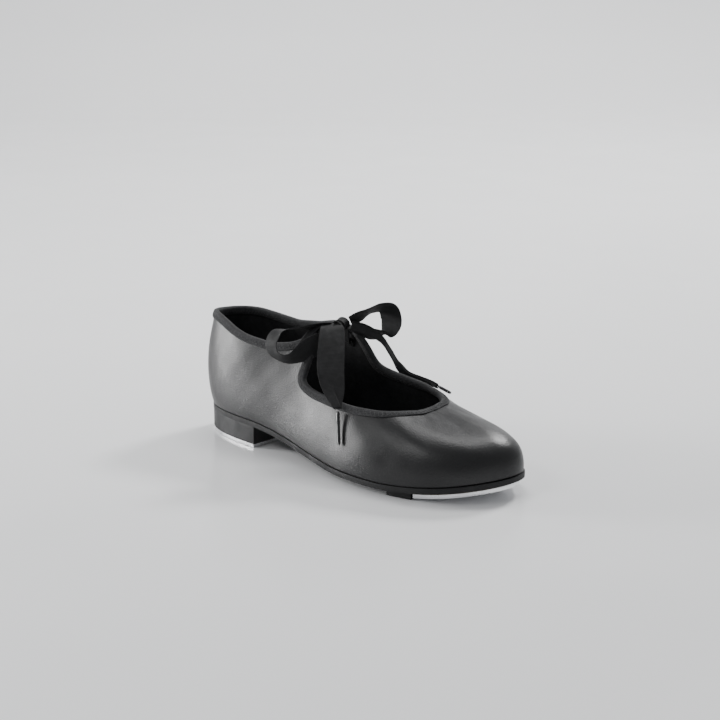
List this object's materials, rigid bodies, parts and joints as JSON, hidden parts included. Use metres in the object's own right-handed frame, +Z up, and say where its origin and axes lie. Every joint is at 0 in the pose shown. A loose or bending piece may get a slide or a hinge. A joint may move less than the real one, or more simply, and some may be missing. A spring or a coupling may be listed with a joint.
{
  "type": "tap shoe",
  "caption": "Low black tap shoe with a ribbon tie, a bound topline, a stacked heel and metal taps under the heel and the toe.",
  "frame": {"origin": "middle of the shoe's bounding box, on the ground under the taps", "axes": "+X from heel to toe, +Y to the inner (medial) side of a right shoe, +Z up"},
  "size_m": [0.2571, 0.0892, 0.0998],
  "materials": {
    "upper_pu": "smooth black polyurethane with a satin finish",
    "binding_tape": "woven black tape, zigzag stitched",
    "lining_cloth": "black knitted lining",
    "stiffener": "fibre board",
    "sock_foam": "black padded sock",
    "outsole_tpr": "moulded black sole",
    "heel_black": "black heel block",
    "tap_metal": "satin aluminium",
    "steel": "zinc-plated steel",
    "eyelet_black": "black enamelled eyelets",
    "ribbon": "black grosgrain ribbon",
    "aglet": "black film tips",
    "filler": "cork and latex filler"
  },
  "bodies": {
    "root": {"upper": "upper_pu", "lasting_margin": "upper_pu", "backstay": "upper_pu", "lining": "lining_cloth", "heel_counter": "stiffener", "toe_puff": "stiffener", "interlining_lateral": "lining_cloth", "interlining_medial": "lining_cloth", "topline_binding": "binding_tape", "eyelets": "eyelet_black", "insole_board": "stiffener", "sock_liner": "sock_foam", "bottom_filler": "filler", "shank": "steel", "outsole": "outsole_tpr", "heel_block": "heel_black", "heel_nails": "steel", "heel_tap": "tap_metal", "heel_tap_screws": "steel", "toe_tap_board": "stiffener", "toe_tap": "tap_metal", "toe_tap_screws": "steel", "sole_pad": "outsole_tpr", "ribbon_knot": "ribbon", "ribbon_loop_lateral": "ribbon", "ribbon_loop_medial": "ribbon", "ribbon_tail_lateral": "ribbon", "ribbon_tail_medial": "ribbon", "ribbon_lead_lateral": "ribbon", "ribbon_lead_medial": "ribbon", "aglet_lateral": "aglet", "aglet_medial": "aglet"}
  },
  "joints": []
}
